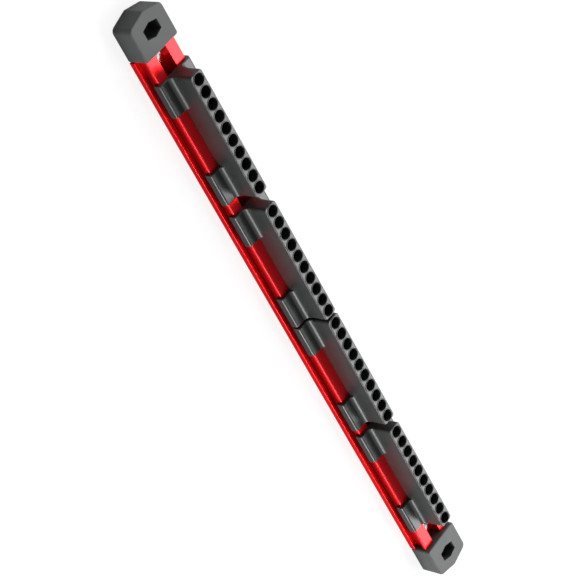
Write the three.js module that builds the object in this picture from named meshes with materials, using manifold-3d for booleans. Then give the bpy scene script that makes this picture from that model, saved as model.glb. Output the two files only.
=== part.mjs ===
// Magnetic bit holder rail, in millimetres: +X runs along the rail, +Y across it and +Z up out of it.
// The origin is on the underside, in the middle between the two end caps.
import * as THREE from "three";
import { mergeVertices } from "three/addons/utils/BufferGeometryUtils.js";
import Module from "manifold-3d";

const wasm = await Module();
wasm.setup();

// Fits
const slideClearance = 0.3; // a holder to the rail that it slides on
const seatClearance = 0.3; // pieces that are glued or pressed together
const overrun = 1; // how far a cutting tool passes the face that it cuts

// How finely round forms are drawn
const roundSides = 24;
const quarterSteps = 4;
const curveSteps = 4;
const edgeSteps = 2;

// Rail section
const railHeight = 12.8;
const channelWidth = 9.2;
const ribWidth = 8;
const floorTop = 4.4;
const lipOverhang = 2.2;
const lipThickness = 2.6;
const ribEdgeChamfer = 0.6;
const flangeBeyondHolder = 0.1; // so that the holders' skirts stay inside the rail's width
const flangeHeight = 4.2;
const flangeThickness = 1.4;
const flangeChamfer = 0.35;
const trenchFloor = 2;
const recessWidth = 15;
const recessDepth = 2.6;
const chamberWall = 1.5;
const chamberRoof = 1.9;
const chamberFloor = 0.6;
const screwHole = 5.5;
const countersink = 9;
const screwHoleFromCap = 6.6;

// Bit holders
const holderCount = 4;
const socketCount = 10;
const socketPitch = 9;
const socketBore = 7.4;
const socketDepth = 15;
const socketChamfer = 0.35;
const endWall = 0.9;
const blockWidth = 10.2;
const blockRise = 19.2; // the block's height over its underside
const blockCorner = 1.8;
const blockEdge = 0.5;
const tabLength = 23.4;
const tabBeyondBlock = 0.1;
const plateAtBlock = 2.1;
const plateAtEdge = 1.8;
const plateFillet = 2;
const skirtThickness = 1.5;
const skirtRound = 1.3;
const footRound = 0.8;
const toeReach = 1.3;
const toeThickness = 0.8;
const toeChamfer = 0.4;

// Where the holders stand: the free lengths of rail before, between and after them
const leftGap = 16.6;
const innerGaps = [9.2, 1.35, 5.6];
const rightGap = 19.7;

// End caps
const capRise = 3.1; // over the ribs
const capSide = 23;
const capLength = 26.7;
const shoulderRound = 2.6;
const peakRound = 0.6;
const innerRound = 1.3;
const capEdge = 0.7;
const openingWidth = 12.4;
const openingLength = 10;
const openingFlat = 6.2;
const openingFromRail = 13.6;
const pegLength = 9;

// Magnets and backing
const barWidth = 6;
const barThickness = 2.6;
const barEndWall = 3;
const baseMagnetCount = 8;
const baseMagnetLength = 38;
const padThickness = 0.6;
const padToScrewHole = 6;

// Sizes that follow from the ones above
const ribOuter = channelWidth / 2 + ribWidth;
const webOuter = ribOuter - lipOverhang;
const lipUnderside = railHeight - lipThickness;
const holderUnderside = railHeight + slideClearance;
const holderTop = holderUnderside + blockRise;
const endToSocket = tabBeyondBlock + endWall + socketBore / 2;
const holderLength = (socketCount - 1) * socketPitch + 2 * endToSocket;
const skirtInner = ribOuter + slideClearance;
const skirtOuter = skirtInner + skirtThickness;
const railWidth = 2 * (skirtOuter + flangeBeyondHolder);
const toeTop = lipUnderside - slideClearance;
const toeInner = skirtInner - toeReach;
const socketBottom = holderTop - socketDepth;
const barRoom = barThickness + seatClearance;
const freeRail = leftGap + rightGap + innerGaps.reduce((sum, gap) => sum + gap, 0);
const capSpan = freeRail + holderCount * holderLength;
const railLength = capSpan - 2 * seatClearance;
const capHeight = railHeight + capRise;
const screwHoleX = capSpan / 2 - screwHoleFromCap;
const padLength = 2 * (screwHoleX - padToScrewHole);

// Finishes
const redAnodised = new THREE.MeshStandardMaterial({ color: 0xc8141e, roughness: 0.3, metalness: 0.9 });
const greyPlastic = new THREE.MeshStandardMaterial({ color: 0x5a5c5c, roughness: 0.6, metalness: 0 });
const blackPlastic = new THREE.MeshStandardMaterial({ color: 0x2b2d2e, roughness: 0.4, metalness: 0 });
const magnetBlack = new THREE.MeshStandardMaterial({ color: 0x1c1c1e, roughness: 0.7, metalness: 0.2 });
const nickel = new THREE.MeshStandardMaterial({ color: 0xb9bcc0, roughness: 0.25, metalness: 1 });
const rubber = new THREE.MeshStandardMaterial({ color: 0x222222, roughness: 0.9, metalness: 0 });

// A closed geometry as a solid for joins and cuts
function solid(geometry) {
  const bare = geometry.clone();
  bare.deleteAttribute("normal");
  bare.deleteAttribute("uv");
  const merged = mergeVertices(bare);
  const vertProperties = new Float32Array(merged.attributes.position.array);
  const triVerts = new Uint32Array(merged.index.array);
  return new wasm.Manifold(new wasm.Mesh({ numProp: 3, vertProperties, triVerts }));
}

// A joined or cut solid as a geometry with flat faces
function geometryOf(made) {
  const mesh = made.getMesh();
  const shared = new THREE.BufferGeometry();
  shared.setAttribute("position", new THREE.BufferAttribute(mesh.vertProperties, mesh.numProp));
  shared.setIndex(new THREE.BufferAttribute(mesh.triVerts, 1));
  const flat = shared.toNonIndexed();
  flat.computeVertexNormals();
  return flat;
}

// A section drawn across the rail, in y and z, carried along X from x = 0
function alongRail(section, length) {
  const geometry = new THREE.ExtrudeGeometry(section, { depth: length, bevelEnabled: false });
  const turn = new THREE.Matrix4().makeBasis(
    new THREE.Vector3(0, 1, 0),
    new THREE.Vector3(0, 0, 1),
    new THREE.Vector3(1, 0, 0),
  );
  return geometry.applyMatrix4(turn);
}

// The closed outline through the points of one side and their mirror images
function mirrored(side) {
  const other = side.filter(([y]) => y > 0).map(([y, z]) => [-y, z]);
  return [...side, ...other.reverse()].map(([y, z]) => new THREE.Vector2(y, z));
}

// Points on a quarter turn about a centre, from one angle on
function quarter(y, z, radius, start, turn) {
  return Array.from({ length: quarterSteps + 1 }, (_, i) => {
    const angle = start + (turn * i * Math.PI) / 2 / quarterSteps;
    return [y + radius * Math.cos(angle), z + radius * Math.sin(angle)];
  });
}

function box(length, width, height) {
  return new THREE.BoxGeometry(length, width, height);
}

// The rail: two ribs with overhanging lips, a channel between them and an upstanding flange outside each
function railSection() {
  const half = railWidth / 2;
  const flangeInner = half - flangeThickness;
  const section = new THREE.Shape(
    mirrored([
      [recessWidth / 2, recessDepth],
      [recessWidth / 2, 0],
      [half - flangeChamfer, 0],
      [half, flangeChamfer],
      [half, flangeHeight - flangeChamfer],
      [half - flangeChamfer, flangeHeight],
      [flangeInner, flangeHeight],
      [flangeInner, trenchFloor],
      [webOuter, trenchFloor],
      [webOuter, lipUnderside],
      [ribOuter, lipUnderside],
      [ribOuter, railHeight - ribEdgeChamfer],
      [ribOuter - ribEdgeChamfer, railHeight],
      [channelWidth / 2, railHeight],
      [channelWidth / 2, floorTop],
    ]),
  );
  const inner = channelWidth / 2 + chamberWall;
  const outer = webOuter - chamberWall;
  const low = floorTop + chamberFloor;
  const high = railHeight - chamberRoof;
  for (const side of [-1, 1]) {
    const corners = [
      [inner, low],
      [outer, low],
      [outer, high],
      [inner, high],
    ];
    section.holes.push(new THREE.Path(corners.map(([y, z]) => new THREE.Vector2(side * y, z))));
  }
  return section;
}

// The tool for a countersunk screw hole, upright, with the floor's top at z = 0
function countersinkTool() {
  const depth = (countersink - screwHole) / 2;
  const profile = [
    [0, -floorTop - overrun],
    [screwHole / 2, -floorTop - overrun],
    [screwHole / 2, -depth],
    [countersink / 2, 0],
    [countersink / 2, overrun],
    [0, overrun],
  ];
  return lathe(profile);
}

// A profile of radii and heights turned about the upright axis
function lathe(profile) {
  const points = profile.map(([radius, height]) => new THREE.Vector2(radius, height));
  return new THREE.LatheGeometry(points, roundSides).rotateX(Math.PI / 2);
}

function rail() {
  let made = solid(alongRail(railSection(), railLength).translate(-railLength / 2, 0, 0));
  for (const side of [-1, 1]) {
    made = made.subtract(solid(countersinkTool().translate(side * screwHoleX, 0, floorTop)));
  }
  return geometryOf(made);
}

// A closed outline through corners given as x, y and how far back from the corner its rounding starts
function roundedOutline(corners) {
  const outline = new THREE.Shape();
  corners.forEach(([x, y, round], i) => {
    const corner = new THREE.Vector2(x, y);
    const [before, after] = [corners.at(i - 1), corners[(i + 1) % corners.length]].map(([nextX, nextY]) =>
      new THREE.Vector2(nextX, nextY).sub(corner).setLength(round).add(corner),
    );
    if (i === 0) outline.moveTo(before.x, before.y);
    else outline.lineTo(before.x, before.y);
    outline.quadraticCurveTo(x, y, after.x, after.y);
  });
  outline.closePath();
  return outline;
}

// One end cap, its inner face at x = 0 and its peak towards +X
function capOutline() {
  const half = railWidth / 2 - capEdge;
  const shoulder = capSide - capEdge;
  return roundedOutline([
    [capEdge, -half, innerRound],
    [shoulder, -half, shoulderRound],
    [capLength - capEdge, 0, peakRound],
    [shoulder, half, shoulderRound],
    [capEdge, half, innerRound],
  ]);
}

// The hexagonal opening through an end cap
function capOpening() {
  const middle = openingFromRail;
  const corners = [
    [middle + openingLength / 2, 0],
    [middle + openingFlat / 2, openingWidth / 2],
    [middle - openingFlat / 2, openingWidth / 2],
    [middle - openingLength / 2, 0],
    [middle - openingFlat / 2, -openingWidth / 2],
    [middle + openingFlat / 2, -openingWidth / 2],
  ];
  return new THREE.Shape(corners.map(([x, y]) => new THREE.Vector2(x, y)));
}

// One end cap with the two pegs that go into the rail's chambers
function endCap() {
  const body = new THREE.ExtrudeGeometry(capOutline(), {
    depth: capHeight - 2 * capEdge,
    bevelThickness: capEdge,
    bevelSize: capEdge,
    bevelSegments: edgeSteps,
    curveSegments: curveSteps,
  }).translate(0, 0, capEdge);
  const opening = new THREE.ExtrudeGeometry(capOpening(), {
    depth: capHeight + 2 * overrun,
    bevelEnabled: false,
  }).translate(0, 0, -overrun);
  let made = solid(body).subtract(solid(opening));
  const pegWidth = ribWidth - lipOverhang - 2 * chamberWall - 2 * seatClearance;
  const pegHeight = railHeight - chamberRoof - floorTop - chamberFloor - 2 * seatClearance;
  const pegY = (channelWidth / 2 + webOuter) / 2;
  const pegZ = (floorTop + chamberFloor + railHeight - chamberRoof) / 2;
  for (const side of [-1, 1]) {
    const peg = box(pegLength + overrun, pegWidth, pegHeight);
    made = made.add(solid(peg.translate((overrun - pegLength) / 2, side * pegY, pegZ)));
  }
  return geometryOf(made);
}

// The saddle that grips the rail: plates over both ribs, skirts outside them and toes under their lips
function saddleSection() {
  const edgeTop = holderUnderside + plateAtEdge;
  const blockTop = holderUnderside + plateAtBlock;
  const blockSide = blockWidth / 2;
  const toeBottom = toeTop - toeThickness;
  return new THREE.Shape(
    mirrored([
      [skirtInner, holderUnderside],
      [skirtInner, toeTop],
      [toeInner, toeTop],
      [toeInner, toeBottom + toeChamfer],
      [toeInner + toeChamfer, toeBottom],
      ...quarter(skirtOuter - footRound, toeBottom + footRound, footRound, -Math.PI / 2, 1),
      ...quarter(skirtOuter - skirtRound, edgeTop - skirtRound, skirtRound, 0, 1),
      ...quarter(blockSide + plateFillet, blockTop + plateFillet, plateFillet, -Math.PI / 2, -1),
    ]),
  );
}

// The block that holds the bits, its start at x = 0
function blockOutline() {
  const length = holderLength - 2 * tabBeyondBlock - 2 * blockEdge;
  const width = blockWidth - 2 * blockEdge;
  const radius = blockCorner - blockEdge;
  const outline = new THREE.Shape();
  outline.absarc(length - radius, radius - width / 2, radius, -Math.PI / 2, 0);
  outline.absarc(length - radius, width / 2 - radius, radius, 0, Math.PI / 2);
  outline.absarc(radius, width / 2 - radius, radius, Math.PI / 2, Math.PI);
  outline.absarc(radius, radius - width / 2, radius, Math.PI, (3 * Math.PI) / 2);
  outline.closePath();
  return outline;
}

// The tool for one socket, upright
function socketTool() {
  const radius = socketBore / 2;
  const profile = [
    [0, socketBottom],
    [radius, socketBottom],
    [radius, holderTop - socketChamfer],
    [radius + socketChamfer, holderTop],
    [radius + socketChamfer, holderTop + overrun],
    [0, holderTop + overrun],
  ];
  return lathe(profile);
}

// One bit holder, its start at x = 0
function bitHolder() {
  const block = new THREE.ExtrudeGeometry(blockOutline(), {
    depth: blockRise - 2 * blockEdge,
    bevelThickness: blockEdge,
    bevelSize: blockEdge,
    bevelSegments: edgeSteps,
    curveSegments: curveSteps,
  }).translate(tabBeyondBlock + blockEdge, 0, holderUnderside + blockEdge);
  let made = solid(block);
  for (const start of [0, holderLength - tabLength]) {
    made = made.add(solid(alongRail(saddleSection(), tabLength).translate(start, 0, 0)));
  }
  for (let i = 0; i < socketCount; i++) {
    made = made.subtract(solid(socketTool().translate(endToSocket + i * socketPitch, 0, 0)));
  }
  const slot = box(holderLength - 2 * barEndWall, barWidth + 2 * seatClearance, barRoom + overrun);
  slot.translate(holderLength / 2, 0, holderUnderside + (barRoom - overrun) / 2);
  return geometryOf(made.subtract(solid(slot)));
}

// The bar magnet in the slot under a holder's sockets, in the holder's own place
function bitMagnet() {
  const length = holderLength - 2 * barEndWall - 2 * seatClearance;
  const bar = box(length, barWidth, barThickness);
  return bar.translate(holderLength / 2, 0, holderUnderside + barThickness / 2);
}

function baseMagnet() {
  const thickness = recessDepth - padThickness - 2 * seatClearance;
  const magnet = box(baseMagnetLength, recessWidth - 2 * seatClearance, thickness);
  return magnet.translate(0, 0, padThickness + seatClearance + thickness / 2);
}

function backingPad() {
  return box(padLength, recessWidth - 2 * seatClearance, padThickness).translate(0, 0, padThickness / 2);
}

const part = new THREE.Group();

function place(name, geometry, material, x = 0, turn = 0) {
  const mesh = new THREE.Mesh(geometry, material);
  mesh.name = name;
  mesh.position.x = x;
  mesh.rotation.z = turn;
  part.add(mesh);
}

place("rail", rail(), redAnodised);
place("backing_pad", backingPad(), rubber);
place("end_cap_left", endCap(), greyPlastic, -capSpan / 2, Math.PI);
place("end_cap_right", endCap(), greyPlastic, capSpan / 2);

const magnetPitch = padLength / baseMagnetCount;
for (let i = 0; i < baseMagnetCount; i++) {
  const x = (i - (baseMagnetCount - 1) / 2) * magnetPitch;
  place(`base_magnet_${i + 1}`, baseMagnet(), nickel, x);
}

let start = leftGap - capSpan / 2;
for (let i = 0; i < holderCount; i++) {
  place(`bit_holder_${i + 1}`, bitHolder(), blackPlastic, start);
  place(`bit_magnet_${i + 1}`, bitMagnet(), magnetBlack, start);
  start += holderLength + (innerGaps[i] ?? 0);
}

export default part;
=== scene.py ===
# A magnetic rail with four bit holders and two end caps, dressed for its picture. Sizes are in metres.
import math

import bmesh
import bpy
from mathutils import Matrix, Vector


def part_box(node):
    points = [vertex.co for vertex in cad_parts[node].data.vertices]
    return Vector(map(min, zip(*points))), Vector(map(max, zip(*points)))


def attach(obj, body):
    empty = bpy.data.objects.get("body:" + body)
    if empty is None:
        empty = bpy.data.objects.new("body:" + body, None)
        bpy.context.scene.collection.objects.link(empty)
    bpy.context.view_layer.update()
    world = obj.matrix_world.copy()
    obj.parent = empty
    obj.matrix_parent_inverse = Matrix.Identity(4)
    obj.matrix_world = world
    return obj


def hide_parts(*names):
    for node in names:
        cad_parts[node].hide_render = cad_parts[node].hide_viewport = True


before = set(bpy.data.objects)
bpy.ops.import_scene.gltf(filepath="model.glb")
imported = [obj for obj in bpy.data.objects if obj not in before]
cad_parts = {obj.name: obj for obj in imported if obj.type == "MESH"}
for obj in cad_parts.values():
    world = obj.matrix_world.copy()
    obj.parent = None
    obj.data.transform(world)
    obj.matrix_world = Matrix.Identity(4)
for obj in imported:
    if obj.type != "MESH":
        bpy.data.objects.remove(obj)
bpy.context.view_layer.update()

close = 1e-5    # how near a point has to be to count as being in a place
merged = 1e-6   # how near two points have to be to become one
past = 0.001    # how far a cutting tool passes the face that it cuts
level = 0.9     # how upright a face's normal has to be for the face to count as level


# Selecting and shaping

def pick(piece):
    bpy.ops.object.select_all(action="DESELECT")
    piece.select_set(True)
    bpy.context.view_layer.objects.active = piece


def startEdit(piece):
    pick(piece)
    bpy.ops.object.mode_set(mode="EDIT")
    bpy.ops.mesh.select_mode(type="VERT")


def endEdit():
    bpy.ops.object.mode_set(mode="OBJECT")


def choosePoints(piece, test):
    bpy.ops.mesh.select_mode(type="VERT")
    bpy.ops.mesh.select_all(action="DESELECT")
    shape = bmesh.from_edit_mesh(piece.data)
    for point in shape.verts:
        if test(point.co):
            point.select_set(True)
    shape.select_flush(True)
    bmesh.update_edit_mesh(piece.data)


def chooseEdges(piece, test):
    bpy.ops.mesh.select_mode(type="EDGE")
    bpy.ops.mesh.select_all(action="DESELECT")
    shape = bmesh.from_edit_mesh(piece.data)
    for edge in shape.edges:
        if test(*(point.co for point in edge.verts)):
            edge.select_set(True)
    bmesh.update_edit_mesh(piece.data)


def chooseFaces(piece, test):
    bpy.ops.mesh.select_mode(type="FACE")
    bpy.ops.mesh.select_all(action="DESELECT")
    shape = bmesh.from_edit_mesh(piece.data)
    shape.normal_update()
    for face in shape.faces:
        if test(face.calc_center_median(), face.normal):
            face.select_set(True)
    bmesh.update_edit_mesh(piece.data)


def isNear(here, there):
    return (here - Vector(there)).length < close


def drawOutline(name, points):
    # A plane is merged to one point, which is then extruded from corner to corner and closed to a face
    bpy.ops.object.select_all(action="DESELECT")
    bpy.ops.mesh.primitive_plane_add(size=1)
    piece = bpy.context.object
    piece.name = name
    startEdit(piece)
    bpy.ops.mesh.select_all(action="SELECT")
    bpy.ops.mesh.merge(type="CENTER")
    bpy.ops.transform.translate(value=points[0])
    for before, after in zip(points, points[1:]):
        step = Vector(after) - Vector(before)
        bpy.ops.mesh.extrude_region_move(TRANSFORM_OT_translate={"value": step})
    bpy.ops.mesh.select_all(action="SELECT")
    bpy.ops.mesh.edge_face_add()
    return piece


def roundCorners(piece, rounds, segments):
    # rounds holds a corner and how far back from it its rounding starts
    for corner, size in rounds:
        choosePoints(piece, lambda here: isNear(here, corner))
        bpy.ops.mesh.bevel(offset=size, segments=segments, affect="VERTICES")


def raiseFace(step):
    bpy.ops.mesh.select_mode(type="FACE")
    bpy.ops.mesh.select_all(action="SELECT")
    bpy.ops.mesh.extrude_region_move(TRANSFORM_OT_translate={"value": step})
    bpy.ops.mesh.select_all(action="SELECT")
    bpy.ops.mesh.normals_make_consistent(inside=False)


def applyModifier(piece, kind, **settings):
    pick(piece)
    bpy.ops.object.modifier_add(type=kind)
    modifier = piece.modifiers[-1]
    for name, value in settings.items():
        setattr(modifier, name, value)
    bpy.ops.object.modifier_apply(modifier=modifier.name)


def mirrorHalf(piece):
    # The face in the middle plane goes, and the other half is mirrored to this one
    chooseFaces(piece, lambda middle, normal: abs(middle.y) < close)
    bpy.ops.mesh.delete(type="FACE")
    endEdit()
    acrossOnly = (False, True, False)
    applyModifier(piece, "MIRROR", use_axis=acrossOnly, use_mirror_merge=True, merge_threshold=close)


def softenEdges(piece, width, segments=2, degrees=40):
    applyModifier(
        piece, "BEVEL", width=width, segments=segments, limit_method="ANGLE",
        angle_limit=math.radians(degrees), use_clamp_overlap=True, miter_outer="MITER_ARC",
    )


def joinTo(piece, tool, operation="UNION"):
    applyModifier(piece, "BOOLEAN", operation=operation, object=tool, solver="EXACT")
    bpy.data.objects.remove(tool)


def finishSurface(piece, degrees=35):
    # Doubles go, faces turn outwards, curves shade smoothly and flats stay flat
    startEdit(piece)
    bpy.ops.mesh.select_all(action="SELECT")
    bpy.ops.mesh.remove_doubles(threshold=merged)
    bpy.ops.mesh.dissolve_degenerate(threshold=merged)
    bpy.ops.mesh.normals_make_consistent(inside=False)
    endEdit()
    piece.data.validate()   # of slivers that have come to lie on the same points, one stays
    pick(piece)
    bpy.ops.object.shade_smooth_by_angle(angle=math.radians(degrees))
    applyModifier(piece, "WEIGHTED_NORMAL", keep_sharp=True, weight=80)


def copyAlong(piece, name, shift):
    pick(piece)
    bpy.ops.object.duplicate()
    copy = bpy.context.object
    copy.name = name
    bpy.ops.transform.translate(value=shift)
    bpy.ops.object.transform_apply(location=True, rotation=True, scale=True)
    return copy


def addBlock(name, low, high):
    # A cube at its size and place, with its place in its mesh
    low, high = Vector(low), Vector(high)
    bpy.ops.object.select_all(action="DESELECT")
    bpy.ops.mesh.primitive_cube_add(size=1, location=(low + high) / 2, scale=high - low)
    piece = bpy.context.object
    piece.name = name
    bpy.ops.object.transform_apply(location=True, rotation=True, scale=True)
    return piece


def addTurned(name, place, steps, sides):
    # A cylinder of the first radius, then its top is extruded and scaled from step to step (radius, height)
    (radius, low), (nextRadius, high) = steps[:2]
    bpy.ops.object.select_all(action="DESELECT")
    bpy.ops.mesh.primitive_cylinder_add(
        vertices=sides, radius=radius, depth=high - low, location=(place[0], place[1], (low + high) / 2),
    )
    piece = bpy.context.object
    piece.name = name
    bpy.ops.object.transform_apply(location=True, rotation=True, scale=True)
    startEdit(piece)
    chooseFaces(piece, lambda middle, normal: normal.z > level)
    scaleFlat(nextRadius / radius)
    for (fromRadius, fromHeight), (toRadius, toHeight) in zip(steps[1:], steps[2:]):
        rise = (0, 0, toHeight - fromHeight)
        bpy.ops.mesh.extrude_region_move(TRANSFORM_OT_translate={"value": rise})
        scaleFlat(toRadius / fromRadius)
    endEdit()
    return piece


def scaleFlat(share):
    bpy.ops.transform.resize(value=(share, share, 1))


def joinPieces(pieces, name):
    pick(pieces[0])
    for piece in pieces:
        piece.select_set(True)
    bpy.ops.object.join()
    pieces[0].name = name
    return pieces[0]


def numbered(start):
    # The nodes whose names start like this, each with the number that it ends with
    names = sorted(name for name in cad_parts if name.startswith(start))
    return [(name, name.rsplit("_", 1)[1]) for name in names]


# Camera, at the photograph's angle

camera = {
    "place": (-0.770132, -0.639643, 0.969970),
    "turn": (-9.7404, -44.8151, 54.1165),   # degrees
    "lens": 140.27,                         # millimetres
    "sensor": 36,
    "near": 0.05,
    "far": 20,
}
bpy.ops.object.select_all(action="DESELECT")
bpy.ops.object.camera_add(location=camera["place"], rotation=[math.radians(d) for d in camera["turn"]])
shot = bpy.context.object
shot.name = "shot"
shot.data.lens = camera["lens"]
shot.data.sensor_width = camera["sensor"]
shot.data.clip_start = camera["near"]
shot.data.clip_end = camera["far"]
bpy.context.scene.camera = shot
print("camera placed")


# Materials: what their nodes share

def newMaterial(name):
    material = bpy.data.materials.new(name)
    material.use_nodes = True
    nodes = material.node_tree.nodes
    return material, nodes, material.node_tree.links, nodes["Principled BSDF"]


def noiseField(nodes, links, scale, detail=3, stretch=(1, 1, 1)):
    # Noise on the piece's own coordinates; scale is waves in a metre
    place = nodes.new("ShaderNodeTexCoord")
    mapping = nodes.new("ShaderNodeMapping")
    mapping.inputs["Scale"].default_value = stretch
    noise = nodes.new("ShaderNodeTexNoise")
    noise.inputs["Scale"].default_value = scale
    noise.inputs["Detail"].default_value = detail
    links.new(place.outputs["Object"], mapping.inputs["Vector"])
    links.new(mapping.outputs["Vector"], noise.inputs["Vector"])
    return noise.outputs["Fac"]


def feed(links, socket, term):
    # A term is a field or a number
    if isinstance(term, (int, float)):
        socket.default_value = term
    else:
        links.new(term, socket)


def calculate(nodes, links, operation, *terms):
    step = nodes.new("ShaderNodeMath")
    step.operation = operation
    for socket, term in zip(step.inputs, terms):
        feed(links, socket, term)
    return step.outputs["Value"]


def blend(nodes, links, amount, first, second):
    mix = nodes.new("ShaderNodeMix")
    links.new(amount, mix.inputs["Factor"])
    feed(links, mix.inputs["A"], first)
    feed(links, mix.inputs["B"], second)
    return mix.outputs["Result"]


def spread(nodes, links, field, start, end, low=0, high=1):
    # Where the field runs from start to end, the result runs from low to high
    reach = nodes.new("ShaderNodeMapRange")
    reach.inputs["From Min"].default_value = start
    reach.inputs["From Max"].default_value = end
    reach.inputs["To Min"].default_value = low
    reach.inputs["To Max"].default_value = high
    links.new(field, reach.inputs["Value"])
    return reach.outputs["Result"]


def between(nodes, links, field, low, high, softness=0.25):
    # A number that runs from low to high with a noise field
    return spread(nodes, links, field, 0.5 - softness, 0.5 + softness, low, high)


def colourBetween(nodes, links, field, low, high, softness=0.25):
    ramp = nodes.new("ShaderNodeValToRGB")
    ramp.color_ramp.elements[0].position = 0.5 - softness
    ramp.color_ramp.elements[1].position = 0.5 + softness
    ramp.color_ramp.elements[0].color = (*low, 1)
    ramp.color_ramp.elements[1].color = (*high, 1)
    links.new(field, ramp.inputs["Fac"])
    return ramp.outputs["Color"]


def distances(nodes, links):
    # How far a place on the piece lies from the middle along X and Y, and its height
    place = nodes.new("ShaderNodeSeparateXYZ")
    links.new(nodes.new("ShaderNodeTexCoord").outputs["Object"], place.inputs["Vector"])
    along = calculate(nodes, links, "ABSOLUTE", place.outputs["X"])
    across = calculate(nodes, links, "ABSOLUTE", place.outputs["Y"])
    return along, across, place.outputs["Z"]


def paintHollowShade(nodes, links, colour, hollow, where=None):
    # Painted shade: in a hollow the colour falls to a share of itself, over a range of openness within its
    # reach
    seen = nodes.new("ShaderNodeAmbientOcclusion")
    seen.samples = 6
    seen.inputs["Distance"].default_value = hollow["reach"]
    amount = spread(nodes, links, seen.outputs["AO"], *hollow["openness"], hollow["share"], 1)
    if where:
        amount = blend(nodes, links, where, 1, amount)
    darker = nodes.new("ShaderNodeVectorMath")
    darker.operation = "SCALE"
    links.new(colour, darker.inputs[0])
    links.new(amount, darker.inputs["Scale"])
    return darker.outputs["Vector"]


def addBumps(nodes, links, shader, heights):
    # heights holds a field and how high it stands, in metres, each bump laid on the one before
    below = None
    for field, height in heights:
        bump = nodes.new("ShaderNodeBump")
        bump.inputs["Strength"].default_value = 1
        bump.inputs["Distance"].default_value = height
        links.new(field, bump.inputs["Height"])
        if below:
            links.new(below, bump.inputs["Normal"])
        below = bump.outputs["Normal"]
    links.new(below, shader.inputs["Normal"])


# The rail's finish

anodised = {
    "deep": (0.73, 0.008, 0.012),
    "light": (0.83, 0.012, 0.017),
    "grazing": (0.80, 0.10, 0.11),   # keeps the red at a low angle
    "roughness": (0.33, 0.40),
    "metallic": 0.88,                # a little of the dye shows as a plain colour
    "coat": 0.3,                     # the clear oxide skin
    "coatRoughness": 0.2,
    "bandScale": 420,                # waves in a metre across the extrusion, here and in the next
    "lineScale": 3200,
    "alongShare": 0.012,             # along the extrusion there is this share of them
    "bandSoftness": 0.3,
    "lineHeight": 0.0000008,
    "grainScale": 9000,
    "grainHeight": 0.0000003,
    # painted shade in the trenches: how far it looks for cover, the openness it runs over, and the share
    # the colour falls to
    "trenchShade": {"reach": 0.012, "openness": (0.16, 0.42), "share": 0.15},
    "trench": (0.0102, 0.0143),      # how far from the middle the trenches start and end
    "trenchTop": 0.0127,
    "trenchOpens": (0.192, 0.199),   # towards the caps the trenches lie open to the light
}


def makeAnodised():
    material, nodes, links, shader = newMaterial("red_anodised")
    alongX = (anodised["alongShare"], 1, 1)
    lines = noiseField(nodes, links, anodised["lineScale"], detail=4, stretch=alongX)
    bands = noiseField(nodes, links, anodised["bandScale"], detail=2, stretch=alongX)
    grain = noiseField(nodes, links, anodised["grainScale"], detail=2)
    dye = anodised["deep"], anodised["light"], anodised["bandSoftness"]
    colour = colourBetween(nodes, links, bands, *dye)
    # painted shade: the red darkens by ambient occlusion in the trenches' hollows
    colour = paintHollowShade(nodes, links, colour, anodised["trenchShade"], trenchShadeMask(nodes, links))
    links.new(colour, shader.inputs["Base Color"])
    links.new(between(nodes, links, lines, *anodised["roughness"]), shader.inputs["Roughness"])
    shader.inputs["Metallic"].default_value = anodised["metallic"]
    shader.inputs["Specular Tint"].default_value = (*anodised["grazing"], 1)
    shader.inputs["Coat Weight"].default_value = anodised["coat"]
    shader.inputs["Coat Roughness"].default_value = anodised["coatRoughness"]
    addBumps(nodes, links, shader, [(lines, anodised["lineHeight"]), (grain, anodised["grainHeight"])])
    return material


def trenchShadeMask(nodes, links):
    # Where painted shade falls on the rail: in the trenches, between the flanges and under the lips
    along, across, height = distances(nodes, links)
    inside = spread(nodes, links, along, *anodised["trenchOpens"], 1, 0)
    for field, operation, limit in (
        (across, "GREATER_THAN", anodised["trench"][0]),
        (across, "LESS_THAN", anodised["trench"][1]),
        (height, "LESS_THAN", anodised["trenchTop"]),
    ):
        within = calculate(nodes, links, operation, field, limit)
        inside = calculate(nodes, links, "MULTIPLY", inside, within)
    return inside


# The finishes of the caps and the holders

plastics = {
    "black": {
        "deep": (0.0095, 0.011, 0.0115), "light": (0.014, 0.0155, 0.016),
        "roughness": (0.39, 0.45), "specular": 0.46,
        "grainScale": 5200, "grainHeight": 0.0000015,
        # painted shade in hollows, by ambient occlusion: its reach, the openness it runs over and the share
        # the colour falls to
        "hollow": {"reach": 0.004, "openness": (0.1, 0.5), "share": 0.6},
        "clip": (0.0062, 0.0074), "clipRoughness": 0.31,   # the clips are smoother, from this far across
        "face": (0.0314, 0.0319), "faceRoughness": 0.33,   # and so are the sockets' faces, from this high
    },
    "grey": {
        "deep": (0.046, 0.049, 0.049), "light": (0.058, 0.061, 0.061),
        "roughness": (0.50, 0.58), "specular": 0.38,
        "grainScale": 3000, "grainHeight": 0.000006,
        # painted shade in hollows, by ambient occlusion: its reach, the openness it runs over and the share
        # the colour falls to
        "hollow": {"reach": 0.014, "openness": (0.25, 0.75), "share": 0.1},
    },
}
moulding = {
    "patchScale": 130,
    "flowScale": 55,
    "flowHeight": 0.00002,
}


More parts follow.
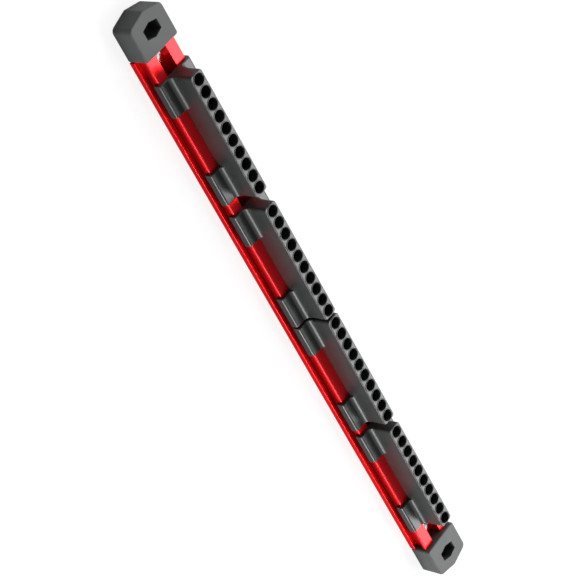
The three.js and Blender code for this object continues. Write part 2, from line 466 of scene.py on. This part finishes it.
def makePlastic(name, look):
    # Moulded plastic: a fine spark-eroded grain over a faint waviness where the melt shrank
    material, nodes, links, shader = newMaterial(name)
    grain = noiseField(nodes, links, look["grainScale"], detail=4)
    patches = noiseField(nodes, links, moulding["patchScale"])
    flow = noiseField(nodes, links, moulding["flowScale"], detail=1)
    colour = colourBetween(nodes, links, patches, look["deep"], look["light"])
    # the colour carries painted shade in hollows
    links.new(paintHollowShade(nodes, links, colour, look["hollow"]), shader.inputs["Base Color"])
    roughness = between(nodes, links, patches, *look["roughness"])
    if "clip" in look:
        _, across, height = distances(nodes, links)
        onClip = spread(nodes, links, across, *look["clip"])
        onFace = spread(nodes, links, height, *look["face"])
        roughness = blend(nodes, links, onClip, roughness, look["clipRoughness"])
        roughness = blend(nodes, links, onFace, roughness, look["faceRoughness"])
    links.new(roughness, shader.inputs["Roughness"])
    shader.inputs["Specular IOR Level"].default_value = look["specular"]
    addBumps(nodes, links, shader, [(flow, moulding["flowHeight"]), (grain, look["grainHeight"])])
    return material


# Bare metal, the magnets and the pad

grainy = {
    "bare_aluminium": {
        "deep": (0.92, 0.92, 0.92), "light": (0.98, 0.98, 0.97),
        "roughness": (0.2, 0.3), "metallic": 1,
        "scale": 2500, "detail": 2, "stretch": (1, 1, 4),
    },
    "nickel_magnet": {
        "deep": (0.52, 0.51, 0.48), "light": (0.64, 0.63, 0.60),
        "roughness": (0.18, 0.34), "metallic": 1,
        "scale": 2600, "detail": 3, "stretch": (0.03, 1, 1), "height": 0.000002,
    },
    "black_magnet": {
        "deep": (0.020, 0.020, 0.022), "light": (0.060, 0.058, 0.060),
        "roughness": (0.55, 0.8), "metallic": 0.2,
        "scale": 4200, "detail": 6, "stretch": (1, 1, 1), "height": 0.00002,
    },
}


def makeGrainy(name):
    # Turned, plated or sintered: one grain gives the colour, the roughness and any bump
    look = grainy[name]
    material, nodes, links, shader = newMaterial(name)
    grain = noiseField(nodes, links, look["scale"], look["detail"], look["stretch"])
    colour = colourBetween(nodes, links, grain, look["deep"], look["light"])
    links.new(colour, shader.inputs["Base Color"])
    links.new(between(nodes, links, grain, *look["roughness"]), shader.inputs["Roughness"])
    shader.inputs["Metallic"].default_value = look["metallic"]
    if "height" in look:
        addBumps(nodes, links, shader, [(grain, look["height"])])
    return material


backing = {
    "deep": (0.022, 0.022, 0.023),
    "light": (0.036, 0.036, 0.036),
    "roughness": (0.78, 0.92),
    "mottleScale": 300,
    "weaveScale": 2400,
    "weaveStretch": (1, 0.25, 1),
    "weaveHeight": 0.00005,
}


def makeRubber():
    material, nodes, links, shader = newMaterial("backing_rubber")
    mottle = noiseField(nodes, links, backing["mottleScale"], detail=4)
    weave = noiseField(nodes, links, backing["weaveScale"], detail=2, stretch=backing["weaveStretch"])
    colour = colourBetween(nodes, links, mottle, backing["deep"], backing["light"])
    links.new(colour, shader.inputs["Base Color"])
    links.new(between(nodes, links, mottle, *backing["roughness"]), shader.inputs["Roughness"])
    addBumps(nodes, links, shader, [(weave, backing["weaveHeight"])])
    return material


redAnodised = makeAnodised()
bareAluminium = makeGrainy("bare_aluminium")
blackPlastic = makePlastic("black_plastic", plastics["black"])
greyPlastic = makePlastic("grey_plastic", plastics["grey"])
nickel = makeGrainy("nickel_magnet")
sintered = makeGrainy("black_magnet")
rubber = makeRubber()
print("materials made")


def dress(piece, material, body, slot, *nodes):
    piece.data.materials.clear()
    piece.data.materials.append(material)
    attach(piece, body)
    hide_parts(*nodes)


# Rail

rail = {
    "channelWidth": 0.0092,
    "ribWidth": 0.008,
    "floorTop": 0.0044,
    "lipOverhang": 0.0022,
    "lipThickness": 0.0026,
    "ribRound": 0.0006,
    "lipRound": 0.0003,
    "flangeHeight": 0.0042,
    "flangeThickness": 0.0014,
    "flangeRound": 0.00025,
    "trenchFloor": 0.002,
    "trenchRound": 0.0004,
    "recessWidth": 0.015,
    "recessDepth": 0.0026,
    "chamberWall": 0.0015,
    "chamberRoof": 0.0019,
    "chamberFloor": 0.0006,
    "edge": 0.0002,
    "roundSteps": 3,
    "screwHole": 0.0055,
    "countersink": 0.009,
    "sinkDepth": 0.001,
    "screwHoleFromEnd": 0.0063,
    "holeSides": 64,
}


def railPlaces():
    # How far across the channel, the ribs and their webs end, and how high the ribs are
    channel = rail["channelWidth"] / 2
    ribOuter = channel + rail["ribWidth"]
    return channel, ribOuter, ribOuter - rail["lipOverhang"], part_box("rail")[1].z


def extrudeSection():
    # Half of the section is drawn from the channel outwards and back underneath
    low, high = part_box("rail")
    channel, ribOuter, web, top = railPlaces()
    x, half, lip = low.x, high.y, top - rail["lipThickness"]
    flangeInner = half - rail["flangeThickness"]
    recess = rail["recessWidth"] / 2
    points = {
        "middleTop": (x, 0, rail["floorTop"]),
        "channelCorner": (x, channel, rail["floorTop"]),
        "ribInner": (x, channel, top),
        "ribOuter": (x, ribOuter, top),
        "lipOuter": (x, ribOuter, lip),
        "lipInner": (x, web, lip),
        "webFoot": (x, web, rail["trenchFloor"]),
        "trenchOuter": (x, flangeInner, rail["trenchFloor"]),
        "flangeInner": (x, flangeInner, rail["flangeHeight"]),
        "flangeOuter": (x, half, rail["flangeHeight"]),
        "flangeFoot": (x, half, low.z),
        "recessEdge": (x, recess, low.z),
        "recessTop": (x, recess, rail["recessDepth"]),
        "middleLow": (x, 0, rail["recessDepth"]),
    }
    rounds = {
        "channelCorner": "edge", "ribInner": "edge", "ribOuter": "ribRound", "lipOuter": "lipRound",
        "lipInner": "edge", "webFoot": "trenchRound", "trenchOuter": "trenchRound",
        "flangeInner": "edge", "flangeOuter": "flangeRound", "flangeFoot": "flangeRound",
        "recessEdge": "edge", "recessTop": "edge",
    }
    piece = drawOutline("rail_extrusion", list(points.values()))
    sizes = [(points[name], rail[size]) for name, size in rounds.items()]
    roundCorners(piece, sizes, rail["roundSteps"])
    raiseFace((high.x - low.x, 0, 0))
    mirrorHalf(piece)
    return piece


def hollowRibs(piece):
    # A chamber with rounded corners runs through each rib
    low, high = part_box("rail")
    channel, _, web, top = railPlaces()
    chambers = []
    for side in (-1, 1):
        ends = sorted([side * (channel + rail["chamberWall"]), side * (web - rail["chamberWall"])])
        chamber = addBlock(
            "chamber",
            (low.x - past, ends[0], rail["floorTop"] + rail["chamberFloor"]),
            (high.x + past, ends[1], top - rail["chamberRoof"]),
        )
        startEdit(chamber)
        chooseEdges(chamber, lambda a, b: abs(a.x - b.x) > close)
        bpy.ops.mesh.bevel(offset=rail["trenchRound"], segments=rail["roundSteps"])
        endEdit()
        chambers.append(chamber)
    joinTo(piece, joinPieces(chambers, "chambers"), "DIFFERENCE")


def holePlaces():
    low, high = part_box("rail")
    reach = (high.x - low.x) / 2 - rail["screwHoleFromEnd"]
    return [(-reach, 0), (reach, 0)]


def sinkHole(piece, place):
    # A hole right through, a cone that widens to the countersink, and a fine edge at its mouth
    floor, edge = rail["floorTop"], rail["edge"]
    hole, sink = rail["screwHole"] / 2, rail["countersink"] / 2
    steps = [
        (hole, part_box("rail")[0].z - past), (hole, floor - rail["sinkDepth"]), (sink, floor),
        (sink + edge, floor + edge), (sink + edge, floor + past),
    ]
    joinTo(piece, addTurned("countersink", place, steps, rail["holeSides"]), "DIFFERENCE")


def bareHoles(piece):
    # The countersinks were machined after anodising, so they show bare metal
    piece.data.materials.append(bareAluminium)
    reach = rail["countersink"] / 2 + 2 * rail["edge"]
    for face in piece.data.polygons:
        middle = face.center
        fromHole = min(math.hypot(middle.x - x, middle.y - y) for x, y in holePlaces())
        inHole = fromHole < reach and rail["recessDepth"] < middle.z < rail["floorTop"]
        if inHole and abs(face.normal.z) < level:
            face.material_index = 1


def makeRail():
    piece = extrudeSection()
    hollowRibs(piece)
    softenEdges(piece, rail["edge"] / 2)
    for place in holePlaces():
        sinkHole(piece, place)
    finishSurface(piece)
    dress(piece, redAnodised, "rail_body", "red_anodised", "rail")
    bareHoles(piece)
    print("rail made:", len(piece.data.polygons), "faces")


makeRail()


# End caps

cap = {
    "side": 0.023,   # from the inner face to the shoulders
    "pegLength": 0.009,
    "shoulderRound": 0.0028,
    "peakRound": 0.0007,
    "innerRound": 0.0016,
    "cornerSteps": 8,
    "edge": 0.0008,
    "edgeSteps": 5,
    "openingWidth": 0.0124,
    "openingLength": 0.010,
    "openingFlat": 0.0062,
    "openingFromRail": 0.0136,
    "openingEdge": 0.00018,
    "pegInset": 0.0003,
    "pegLead": 0.0008,
}


def makeCap(side, node):
    low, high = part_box(node)
    outward = 1 if side == "right" else -1
    tip, pegEnd = (high.x, low.x) if outward > 0 else (low.x, high.x)
    inner = pegEnd + outward * cap["pegLength"]
    shoulder = inner + outward * cap["side"]
    half = high.y
    outline = [
        ((inner, -half, 0), cap["innerRound"]),
        ((shoulder, -half, 0), cap["shoulderRound"]),
        ((tip, 0, 0), cap["peakRound"]),
        ((shoulder, half, 0), cap["shoulderRound"]),
        ((inner, half, 0), cap["innerRound"]),
    ]
    piece = drawOutline("cap_shell_" + side, [corner for corner, size in outline])
    roundCorners(piece, outline, cap["cornerSteps"])
    raiseFace((0, 0, high.z))
    endEdit()
    softenEdges(piece, cap["edge"], cap["edgeSteps"], degrees=60)
    cutOpening(piece, inner + outward * cap["openingFromRail"], high.z)
    for turn in (-1, 1):
        joinTo(piece, makePeg(inner, pegEnd, turn))
    finishSurface(piece)
    dress(piece, greyPlastic, "rail_body", "grey_plastic", node)
    print("cap made:", side, len(piece.data.polygons), "faces")


def openingReach():
    # Half the opening's length at its points, half its flat sides, and half its width
    return cap["openingLength"] / 2, cap["openingFlat"] / 2, cap["openingWidth"] / 2


def cutOpening(piece, middle, top):
    # The hexagonal opening, with a small bevel round both mouths
    reach, flat, wide = openingReach()
    hexagon = ((reach, 0), (flat, wide), (-flat, wide), (-reach, 0), (-flat, -wide), (flat, -wide))
    tool = drawOutline("opening", [(middle + x, y, -past) for x, y in hexagon])
    raiseFace((0, 0, top + 2 * past))
    endEdit()
    joinTo(piece, tool, "DIFFERENCE")
    startEdit(piece)
    chooseEdges(piece, lambda a, b: isOnMouth(a, middle, top) and isOnMouth(b, middle, top))
    bpy.ops.mesh.bevel(offset=cap["openingEdge"], segments=2, affect="EDGES")
    endEdit()


def isOnMouth(place, middle, top):
    x, y = abs(place.x - middle), abs(place.y)
    reach, flat, wide = openingReach()
    pastSlant = ((x - reach) * wide + y * (reach - flat)) / math.hypot(wide, reach - flat)
    pastOutline = max(y - wide, pastSlant)
    isOnFace = abs(place.z) < close or abs(place.z - top) < close
    return isOnFace and abs(pastOutline) < 2 * close


def makePeg(inner, pegEnd, turn):
    # A peg in one of the rail's chambers, with a tapered lead
    channel, _, web, top = railPlaces()
    near = channel + rail["chamberWall"] + cap["pegInset"]
    far = web - rail["chamberWall"] - cap["pegInset"]
    low = rail["floorTop"] + rail["chamberFloor"] + cap["pegInset"]
    high = top - rail["chamberRoof"] - cap["pegInset"]
    inside = inner - past if pegEnd > inner else inner + past
    ends = sorted([inside, pegEnd])
    sides = sorted([turn * near, turn * far])
    peg = addBlock("peg", (ends[0], sides[0], low), (ends[1], sides[1], high))
    startEdit(peg)
    chooseFaces(peg, lambda middle, normal: abs(middle.x - pegEnd) < close)
    bpy.ops.mesh.bevel(offset=cap["pegLead"], segments=2)
    endEdit()
    softenEdges(peg, rail["edge"])
    return peg


makeCap("left", "end_cap_left")
makeCap("right", "end_cap_right")


# Bit holders

holder = {
    "slideClearance": 0.0003,
    "restClearance": 0.00005,   # over the ribs, on which the holder rests
    "sockets": 10,
    "pitch": 0.009,
    "bore": 0.0074,
    "depth": 0.015,
    "mouth": 0.0004,
    "mouthShares": (0.3, 0.4),   # of the mouth, how far out and down its rounding's middle lies
    "ringRadius": 0.00442,
    "ringRise": 0.00028,
    "ringRound": 0.0002,
    "ringSteps": 3,
    "sides": 64,
    "blockWidth": 0.0102,
    "blockCorner": 0.0019,
    "blockEdge": 0.0006,
    "tabLength": 0.0234,
    "tabBeyondBlock": 0.0001,
    "plateAtBlock": 0.0021,
    "plateAtEdge": 0.0018,
    "fillet": 0.003,
    "filletRun": 0.0001,   # a short straight run over each fillet
    "skirt": 0.0015,
    "skirtRound": 0.0015,
    "footRound": 0.0008,
    "toeReach": 0.0013,
    "toeThickness": 0.0008,
    "toeEdge": 0.0004,
    "tabEdge": 0.0002,
    "tabEndRound": 0.0008,
    "slotWidth": 0.0066,
    "slotHeight": 0.0029,
    "slotEndWall": 0.003,
}


def makeSaddle(start):
    # The clip that grips the rail: half of its section drawn, rounded, extruded and mirrored
    _, ribOuter, _, railTop = railPlaces()
    under = railTop + holder["restClearance"]
    inner = ribOuter + holder["slideClearance"]
    outer = inner + holder["skirt"]
    toeTop = railTop - rail["lipThickness"] - holder["slideClearance"]
    toeLow = toeTop - holder["toeThickness"]
    toeInner = inner - holder["toeReach"]
    edgeTop = railTop + holder["slideClearance"] + holder["plateAtEdge"]
    wallTop = railTop + holder["slideClearance"] + holder["plateAtBlock"]
    side = holder["blockWidth"] / 2
    filletTop = wallTop + holder["fillet"] + holder["filletRun"]
    points = {
        "middleLow": (start, 0, under),
        "underSkirt": (start, inner, under),
        "toeRoot": (start, inner, toeTop),
        "toeTip": (start, toeInner, toeTop),
        "toeTipLow": (start, toeInner, toeLow),
        "foot": (start, outer, toeLow),
        "shoulder": (start, outer, edgeTop),
        "wallFoot": (start, side, wallTop),
        "wallHigh": (start, side, filletTop),
        "middleHigh": (start, 0, filletTop),
    }
    rounds = {   # how large each corner's rounding is, and its steps
        "underSkirt": ("tabEdge", 3), "toeTip": ("tabEdge", 3), "toeTipLow": ("toeEdge", 3),
        "foot": ("footRound", 8), "shoulder": ("skirtRound", 10), "wallFoot": ("fillet", 12),
    }
    piece = drawOutline("saddle", list(points.values()))
    for corner, (size, segments) in rounds.items():
        roundCorners(piece, [(points[corner], holder[size])], segments)
    raiseFace((holder["tabLength"], 0, 0))
    mirrorHalf(piece)
    startEdit(piece)
    narrowTop(piece, filletTop)
    ends = (start, start + holder["tabLength"])
    chooseEdges(piece, lambda a, b: isRim(a, b, ends, outer))
    bpy.ops.mesh.bevel(offset=holder["tabEndRound"], segments=5, affect="EDGES")
    endEdit()
    softenEdges(piece, holder["tabEdge"], degrees=50)
    return piece


def narrowTop(piece, filletTop):
    # Above the fillets the section runs back into the block's rounded corners
    chooseFaces(piece, lambda middle, normal: normal.z > level and abs(middle.z - filletTop) < close)
    rise = (0, 0, 2 * holder["blockCorner"])
    bpy.ops.mesh.extrude_region_move(TRANSFORM_OT_translate={"value": rise})
    lengthShare = 1 - 2 * holder["blockCorner"] / holder["tabLength"]
    bpy.ops.transform.resize(value=(lengthShare, 1, 1))


def isRim(a, b, ends, outer):
    # An edge that goes round the outside of one of the clip's ends
    isAtEnd = any(abs(a.x - end) < close and abs(b.x - end) < close for end in ends)
    return isAtEnd and isOutside(a, outer) and isOutside(b, outer)


def isOutside(place, outer):
    # On the clip's plates or the outer face of a skirt, and not underneath or inside
    under = railPlaces()[3] + holder["restClearance"]
    isOnPlate = place.z > under + holder["plateAtEdge"] / 2 and abs(place.y) > holder["blockWidth"] / 2
    return isOnPlate or abs(abs(place.y) - outer) < close


def makeBlock(start, end, top):
    half = holder["blockWidth"] / 2
    inset = holder["tabBeyondBlock"]
    under = railPlaces()[3] + holder["restClearance"]
    piece = addBlock("bit_block", (start + inset, -half, under), (end - inset, half, top))
    startEdit(piece)
    chooseEdges(piece, lambda a, b: abs(a.z - b.z) > close)
    bpy.ops.mesh.bevel(offset=holder["blockCorner"], segments=8)
    endEdit()
    softenEdges(piece, holder["blockEdge"], segments=4, degrees=60)
    return piece


def makeRing(place, top):
    # The low ring round a socket, with its outer edge rounded
    outer, turn = holder["ringRadius"], holder["ringRound"]
    steps = [(outer, top - holder["ringRise"] - past), (outer, top - turn)]
    for i in range(1, holder["ringSteps"] + 1):
        a = math.pi / 2 * i / holder["ringSteps"]
        steps.append((outer - turn * (1 - math.cos(a)), top - turn * (1 - math.sin(a))))
    return addTurned("ring", place, steps, holder["sides"])


def makeBore(place, top):
    # A socket with a bevelled floor and a rounded mouth
    bore, mouth, bottom = holder["bore"] / 2, holder["mouth"], top - holder["depth"]
    outShare, downShare = holder["mouthShares"]
    steps = [
        (bore - mouth, bottom), (bore, bottom + mouth), (bore, top - mouth),
        (bore + outShare * mouth, top - downShare * mouth), (bore + mouth, top), (bore + mouth, top + past),
    ]
    return addTurned("bore", place, steps, holder["sides"])


def makeSlot(start, end):
    # Where the bar magnet is glued in from underneath
    railTop = railPlaces()[3]
    half = holder["slotWidth"] / 2
    return addBlock(
        "slot",
        (start + holder["slotEndWall"], -half, railTop + holder["restClearance"] - past),
        (end - holder["slotEndWall"], half, railTop + holder["slideClearance"] + holder["slotHeight"]),
    )


def makeHolder(start, end, top):
    piece = makeBlock(start, end, top - holder["ringRise"])
    for clipStart in (start, end - holder["tabLength"]):
        joinTo(piece, makeSaddle(clipStart))
    first = (start + end) / 2 - (holder["sockets"] - 1) * holder["pitch"] / 2
    places = [(first + i * holder["pitch"], 0) for i in range(holder["sockets"])]
    joinTo(piece, joinPieces([makeRing(place, top) for place in places], "rings"))
    joinTo(piece, joinPieces([makeBore(place, top) for place in places], "bores"), "DIFFERENCE")
    joinTo(piece, makeSlot(start, end), "DIFFERENCE")
    finishSurface(piece)
    return piece


firstLow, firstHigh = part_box("bit_holder_1")
bitHolder = makeHolder(firstLow.x, firstHigh.x, firstHigh.z)
print("bit holder made:", len(bitHolder.data.polygons), "faces")
for node, number in numbered("bit_holder_"):
    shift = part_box(node)[0].x - firstLow.x
    copy = copyAlong(bitHolder, "holder_moulding_" + number, (shift, 0, 0))
    dress(copy, blackPlastic, "holder_" + number, "black_plastic", node)
bpy.data.objects.remove(bitHolder)
print("bit holders placed")


# Magnets and backing

magnets = {
    "barEdge": 0.0003,
    "plateEdge": 0.0003,
    "padEdge": 0.00015,
    "edgeSteps": 3,
}


def makeBar(node, name, edge, material, body, slot):
    piece = addBlock(name, *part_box(node))
    softenEdges(piece, edge, magnets["edgeSteps"])
    finishSurface(piece)
    dress(piece, material, body, slot, node)


for node, number in numbered("bit_magnet_"):
    makeBar(node, "bar_magnet_" + number, magnets["barEdge"], sintered, "holder_" + number, "black_magnet")
for node, number in numbered("base_magnet_"):
    makeBar(node, "plate_magnet_" + number, magnets["plateEdge"], nickel, "rail_body", "nickel_magnet")
makeBar("backing_pad", "backing_strip", magnets["padEdge"], rubber, "rail_body", "backing_rubber")
print("magnets and backing made")


# Floor, world and lamps

studio = {
    "floorSize": 12,
    "floorBounce": 0.45,             # the floor's own colour in bounced light
    "floorSeen": (0.82, 0.22),       # to the eye: its glow, and the lit part that takes the shadow
    "floorMirrored": (0.08, 0.62),   # the same white in reflections, with a deeper shadow
    "worldFill": 0.30,
}
lamps = {
    # direction from the object, distance, width, height and power
    "softbox": {"towards": (0.553, 0.459, 0.696), "away": 1.7, "size": (1.6, 0.9), "power": 32},
    "strip": {"towards": (0.56, -0.82, 0.13), "away": 1.3, "size": (0.7, 0.42), "power": 20},
    "fill": {"towards": (-0.40, 0.88, 0.25), "away": 1.5, "size": (2.0, 1.2), "power": 23},
}


def pale(shade):
    return (shade, shade, shade, 1)


def byRay(nodes, links, seen, mirrored, bounced):
    # Camera rays see one shader, glossy and transmission rays the next, and all others the last
    path = nodes.new("ShaderNodeLightPath").outputs
    either = calculate(nodes, links, "MAXIMUM", path["Is Glossy Ray"], path["Is Transmission Ray"])
    surface = bounced
    for ray, shader in ((either, mirrored), (path["Is Camera Ray"], seen)):
        mix = nodes.new("ShaderNodeMixShader")
        links.new(ray, mix.inputs["Fac"])
        links.new(surface, mix.inputs[1])
        links.new(shader, mix.inputs[2])
        surface = mix.outputs["Shader"]
    return surface


def glowingWhite(nodes, links, glow, shade):
    lit = nodes.new("ShaderNodeBsdfDiffuse")
    lit.inputs["Color"].default_value = pale(shade)
    emission = nodes.new("ShaderNodeEmission")
    emission.inputs["Strength"].default_value = glow
    both = nodes.new("ShaderNodeAddShader")
    links.new(lit.outputs["BSDF"], both.inputs[0])
    links.new(emission.outputs["Emission"], both.inputs[1])
    return both.outputs["Shader"]


def makeFloor():
    bpy.ops.object.select_all(action="DESELECT")
    bpy.ops.mesh.primitive_plane_add(size=studio["floorSize"])
    floor = bpy.context.object
    floor.name = "floor"
    material, nodes, links, shader = newMaterial("pale_floor")
    nodes.remove(shader)
    seen = glowingWhite(nodes, links, *studio["floorSeen"])
    mirrored = glowingWhite(nodes, links, *studio["floorMirrored"])
    bounced = nodes.new("ShaderNodeBsdfDiffuse")
    bounced.inputs["Color"].default_value = pale(studio["floorBounce"])
    surface = byRay(nodes, links, seen, mirrored, bounced.outputs["BSDF"])
    links.new(surface, nodes["Material Output"].inputs["Surface"])
    floor.data.materials.append(material)


def makeWorld():
    world = bpy.data.worlds.new("studio")
    bpy.context.scene.world = world
    world.use_nodes = True
    nodes, links = world.node_tree.nodes, world.node_tree.links
    seen = nodes.new("ShaderNodeBackground")
    seen.inputs["Color"].default_value = pale(1)
    seen.inputs["Strength"].default_value = 1
    fill = nodes["Background"]
    fill.inputs["Color"].default_value = pale(1)
    fill.inputs["Strength"].default_value = studio["worldFill"]
    white = seen.outputs["Background"]
    surface = byRay(nodes, links, white, white, fill.outputs["Background"])
    links.new(surface, nodes["World Output"].inputs["Surface"])


def addLamp(name, lamp):
    towards = Vector(lamp["towards"]).normalized()
    bpy.ops.object.select_all(action="DESELECT")
    bpy.ops.object.light_add(type="AREA", location=towards * lamp["away"])
    light = bpy.context.object
    light.name = name
    across = Vector((1, 0, 0)) - towards * towards.x   # the lamp's long side lies along the rail
    across.normalize()
    light.rotation_euler = Matrix((across, towards.cross(across), towards)).transposed().to_euler()
    light.data.shape = "RECTANGLE"
    light.data.size, light.data.size_y = lamp["size"]
    light.data.energy = lamp["power"]


makeFloor()
makeWorld()
for name, lamp in lamps.items():
    addLamp(name, lamp)
view = bpy.context.scene.view_settings
view.view_transform = "Standard"
print("studio made")
